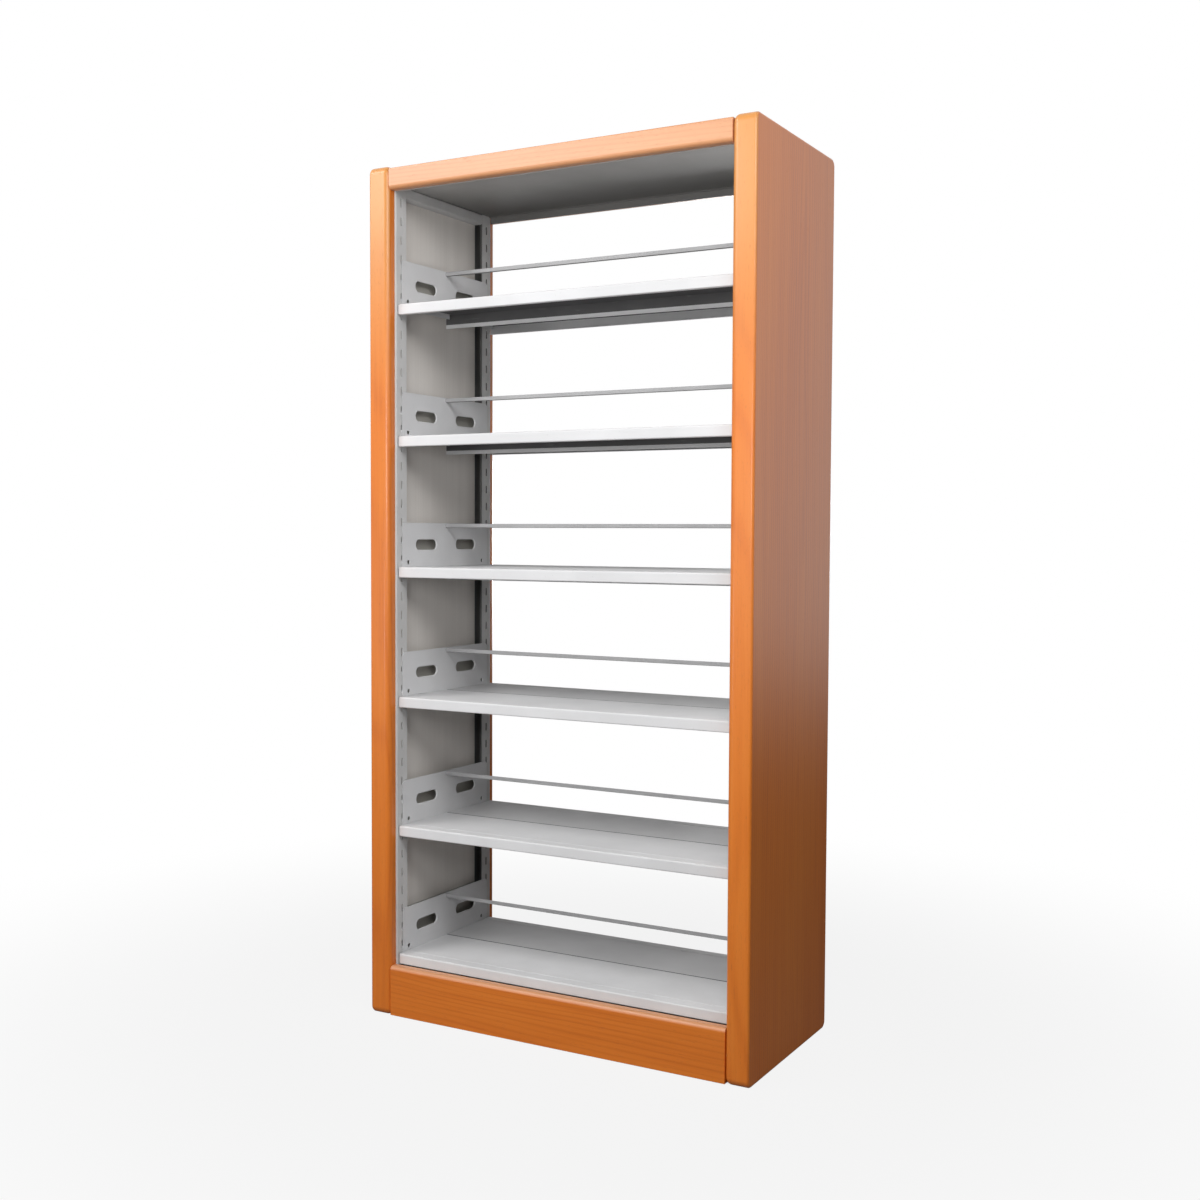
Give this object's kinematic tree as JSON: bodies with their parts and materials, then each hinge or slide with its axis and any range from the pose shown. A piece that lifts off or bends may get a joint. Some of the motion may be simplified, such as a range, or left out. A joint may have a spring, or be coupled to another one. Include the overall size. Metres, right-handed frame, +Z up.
{
  "type": "double-sided library bookcase",
  "caption": "Tall open double-sided bookcase with wood-finish end panels and rails round a slotted steel frame, and sheet-steel shelves on hooked brackets.",
  "frame": {"origin": "on the floor, under the middle of the bookcase", "axes": "+Z up, -Y towards the front face in the picture, +X to that viewer's right"},
  "size_m": [0.98, 0.45, 2],
  "materials": {
    "wood": "satin lacquer over orange beech-coloured grain",
    "dowel_wood": "plain unfinished hardwood",
    "frame_steel": "light grey fine-textured powder coat",
    "shelf_steel": "pale grey satin powder coat",
    "zinc": "bright zinc plate"
  },
  "bodies": {
    "frame": {"left_end_panel": "wood", "right_end_panel": "wood", "top_rail_front": "wood", "top_rail_dowel_front_left": "dowel_wood", "top_rail_dowel_front_right": "dowel_wood", "kick_plate_front": "wood", "kick_plate_dowel_front_left": "dowel_wood", "kick_plate_dowel_front_right": "dowel_wood", "top_rail_rear": "wood", "top_rail_dowel_rear_left": "dowel_wood", "top_rail_dowel_rear_right": "dowel_wood", "kick_plate_rear": "wood", "kick_plate_dowel_rear_left": "dowel_wood", "kick_plate_dowel_rear_right": "dowel_wood", "canopy": "frame_steel", "top_tie_left": "frame_steel", "base_tie_left": "frame_steel", "side_sheet_left": "frame_steel", "upright_front_left": "frame_steel", "canopy_bolt_front_left": "zinc", "upright_rear_left": "frame_steel", "canopy_bolt_rear_left": "zinc", "top_tie_right": "frame_steel", "base_tie_right": "frame_steel", "side_sheet_right": "frame_steel", "upright_front_right": "frame_steel", "canopy_bolt_front_right": "zinc", "upright_rear_right": "frame_steel", "canopy_bolt_rear_right": "zinc"},
    "shelf_1_carrier": {"shelf_1_bracket_left": "frame_steel", "shelf_1_bracket_right": "frame_steel", "shelf_1_stop_rail": "shelf_steel"},
    "shelf_1_board_front": {"shelf_1_board_front": "shelf_steel"},
    "shelf_1_board_rear": {"shelf_1_board_rear": "shelf_steel"},
    "shelf_2_carrier": {"shelf_2_bracket_left": "frame_steel", "shelf_2_bracket_right": "frame_steel", "shelf_2_stop_rail": "shelf_steel"},
    "shelf_2_board_front": {"shelf_2_board_front": "shelf_steel"},
    "shelf_2_board_rear": {"shelf_2_board_rear": "shelf_steel"},
    "shelf_3_carrier": {"shelf_3_bracket_left": "frame_steel", "shelf_3_bracket_right": "frame_steel", "shelf_3_stop_rail": "shelf_steel"},
    "shelf_3_board_front": {"shelf_3_board_front": "shelf_steel"},
    "shelf_3_board_rear": {"shelf_3_board_rear": "shelf_steel"},
    "shelf_4_carrier": {"shelf_4_bracket_left": "frame_steel", "shelf_4_bracket_right": "frame_steel", "shelf_4_stop_rail": "shelf_steel"},
    "shelf_4_board_front": {"shelf_4_board_front": "shelf_steel"},
    "shelf_4_board_rear": {"shelf_4_board_rear": "shelf_steel"},
    "shelf_5_carrier": {"shelf_5_bracket_left": "frame_steel", "shelf_5_bracket_right": "frame_steel", "shelf_5_stop_rail": "shelf_steel"},
    "shelf_5_board_front": {"shelf_5_board_front": "shelf_steel"},
    "shelf_5_board_rear": {"shelf_5_board_rear": "shelf_steel"},
    "shelf_6_carrier": {"shelf_6_bracket_left": "frame_steel", "shelf_6_bracket_right": "frame_steel", "shelf_6_stop_rail": "shelf_steel"},
    "shelf_6_board_front": {"shelf_6_board_front": "shelf_steel"},
    "shelf_6_board_rear": {"shelf_6_board_rear": "shelf_steel"}
  },
  "joints": [
    {"name": "shelf_1_unhook", "type": "slide", "parent": "frame", "child": "shelf_1_carrier", "axis": [0, 0, 1], "range_m": [0, 0.012]},
    {"name": "shelf_1_front_lift", "type": "slide", "parent": "shelf_1_carrier", "child": "shelf_1_board_front", "axis": [0, 0, 1], "range_m": [0, 0.08]},
    {"name": "shelf_1_rear_lift", "type": "slide", "parent": "shelf_1_carrier", "child": "shelf_1_board_rear", "axis": [0, 0, 1], "range_m": [0, 0.08]},
    {"name": "shelf_2_unhook", "type": "slide", "parent": "frame", "child": "shelf_2_carrier", "axis": [0, 0, 1], "range_m": [0, 0.012]},
    {"name": "shelf_2_front_lift", "type": "slide", "parent": "shelf_2_carrier", "child": "shelf_2_board_front", "axis": [0, 0, 1], "range_m": [0, 0.08]},
    {"name": "shelf_2_rear_lift", "type": "slide", "parent": "shelf_2_carrier", "child": "shelf_2_board_rear", "axis": [0, 0, 1], "range_m": [0, 0.08]},
    {"name": "shelf_3_unhook", "type": "slide", "parent": "frame", "child": "shelf_3_carrier", "axis": [0, 0, 1], "range_m": [0, 0.012]},
    {"name": "shelf_3_front_lift", "type": "slide", "parent": "shelf_3_carrier", "child": "shelf_3_board_front", "axis": [0, 0, 1], "range_m": [0, 0.08]},
    {"name": "shelf_3_rear_lift", "type": "slide", "parent": "shelf_3_carrier", "child": "shelf_3_board_rear", "axis": [0, 0, 1], "range_m": [0, 0.08]},
    {"name": "shelf_4_unhook", "type": "slide", "parent": "frame", "child": "shelf_4_carrier", "axis": [0, 0, 1], "range_m": [0, 0.012]},
    {"name": "shelf_4_front_lift", "type": "slide", "parent": "shelf_4_carrier", "child": "shelf_4_board_front", "axis": [0, 0, 1], "range_m": [0, 0.08]},
    {"name": "shelf_4_rear_lift", "type": "slide", "parent": "shelf_4_carrier", "child": "shelf_4_board_rear", "axis": [0, 0, 1], "range_m": [0, 0.08]},
    {"name": "shelf_5_unhook", "type": "slide", "parent": "frame", "child": "shelf_5_carrier", "axis": [0, 0, 1], "range_m": [0, 0.012]},
    {"name": "shelf_5_front_lift", "type": "slide", "parent": "shelf_5_carrier", "child": "shelf_5_board_front", "axis": [0, 0, 1], "range_m": [0, 0.08]},
    {"name": "shelf_5_rear_lift", "type": "slide", "parent": "shelf_5_carrier", "child": "shelf_5_board_rear", "axis": [0, 0, 1], "range_m": [0, 0.08]},
    {"name": "shelf_6_unhook", "type": "slide", "parent": "frame", "child": "shelf_6_carrier", "axis": [0, 0, 1], "range_m": [0, 0.012]},
    {"name": "shelf_6_front_lift", "type": "slide", "parent": "shelf_6_carrier", "child": "shelf_6_board_front", "axis": [0, 0, 1], "range_m": [0, 0.08]},
    {"name": "shelf_6_rear_lift", "type": "slide", "parent": "shelf_6_carrier", "child": "shelf_6_board_rear", "axis": [0, 0, 1], "range_m": [0, 0.08]}
  ]
}
